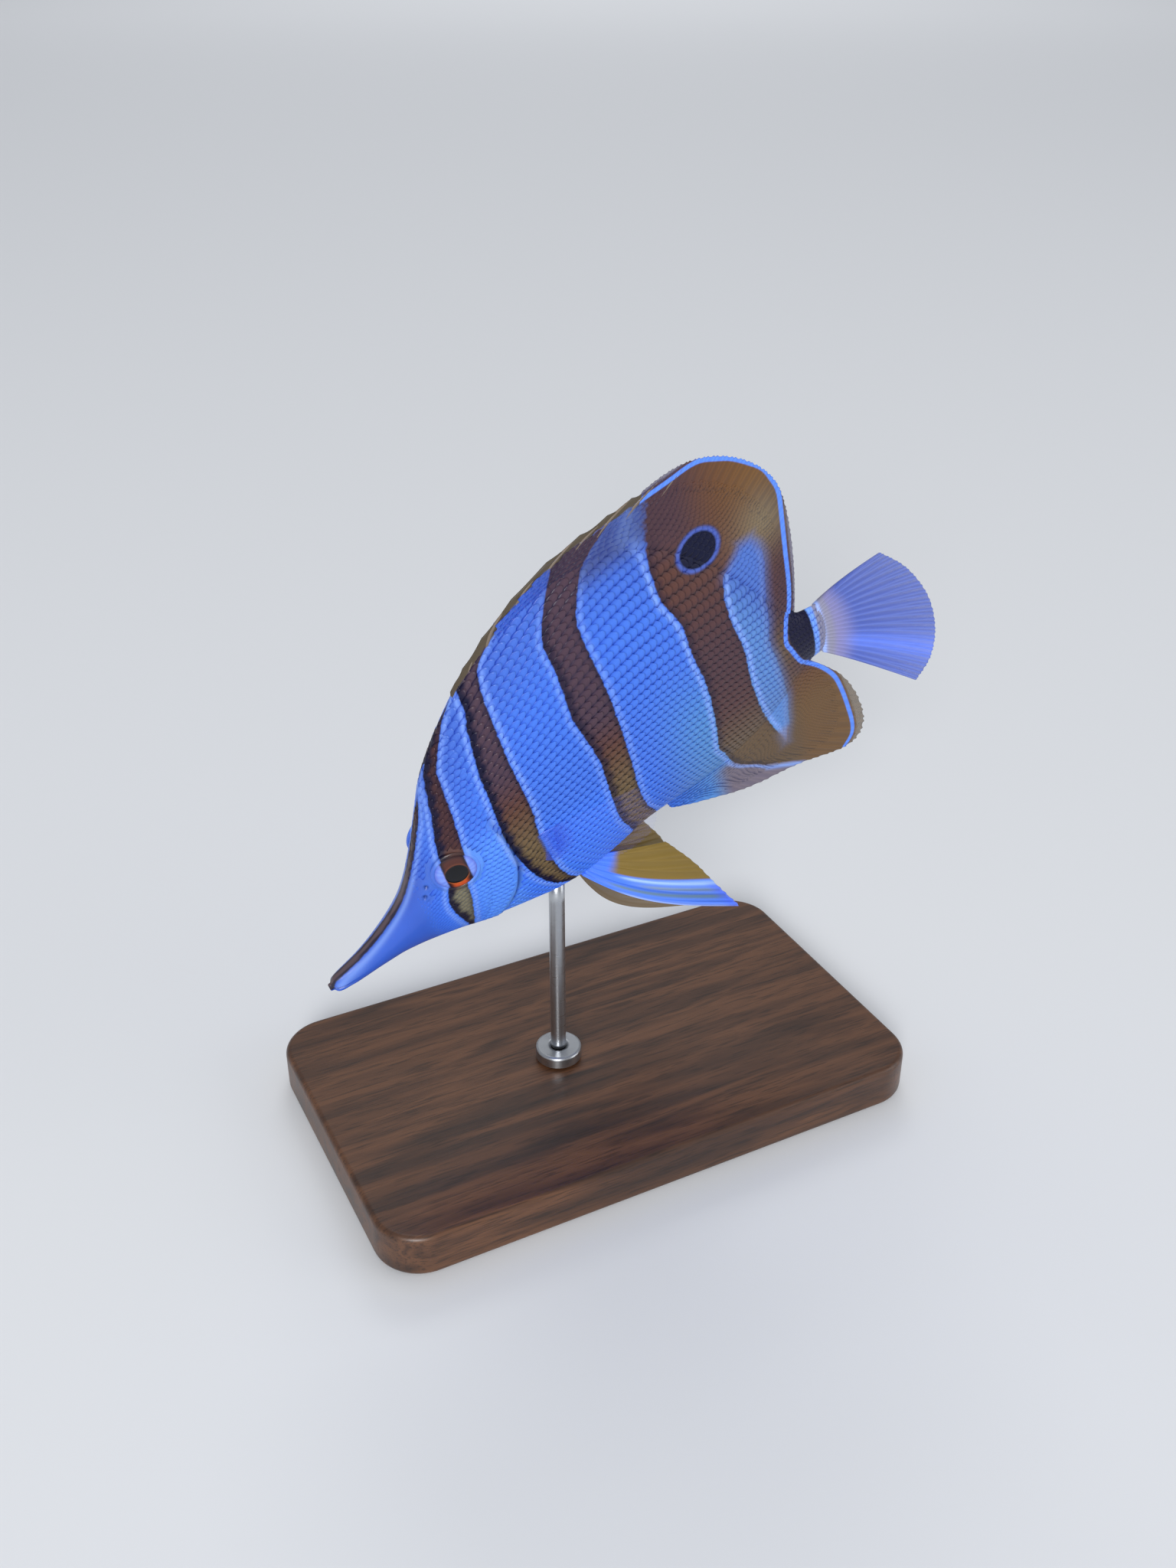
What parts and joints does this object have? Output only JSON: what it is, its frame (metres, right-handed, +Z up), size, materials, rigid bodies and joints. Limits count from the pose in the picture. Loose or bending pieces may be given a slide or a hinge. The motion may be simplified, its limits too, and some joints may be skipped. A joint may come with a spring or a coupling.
{
  "type": "copperband butterflyfish model",
  "caption": "Life-size still model of a copperband butterflyfish, nose down and banked, on a plain wooden stand with a steel rod.",
  "frame": {"origin": "centre of the underside of the stand's base, on the surface it stands on", "axes": "+Z up; the fish heads along -X, its left side is -Y, nose 21 degrees down and banked 12 degrees to its left"},
  "size_m": [0.1217, 0.066, 0.1328],
  "materials": {
    "skin": "scaled, pearly blue-white ground with copper-brown bands",
    "spiny_fin": "satin, olive brown",
    "soft_fin": "satin, ochre and copper with a blue line and a clear rim",
    "clear_fin": "translucent membrane",
    "pelvic_fin": "satin, yellow ochre with a blue-white leading edge",
    "eye": "polished, black pupil in an orange-red iris",
    "stand_wood": "oiled dark walnut",
    "stand_steel": "brushed"
  },
  "bodies": {
    "root": {"snout": "skin", "jaw_lower": "skin", "head": "skin", "gill_cover_left": "skin", "gill_cover_right": "skin", "eye_left": "eye", "eye_right": "eye", "torso_front": "skin", "torso_rear": "skin", "tail_base": "skin", "dorsal_spines": "spiny_fin", "dorsal_soft": "soft_fin", "anal_fin": "soft_fin", "tail_fin": "clear_fin", "pelvic_left": "pelvic_fin", "pelvic_right": "pelvic_fin", "pectoral_left": "clear_fin", "pectoral_right": "clear_fin", "stand_base": "stand_wood", "stand_collar": "stand_steel", "stand_rod": "stand_steel"}
  },
  "joints": []
}
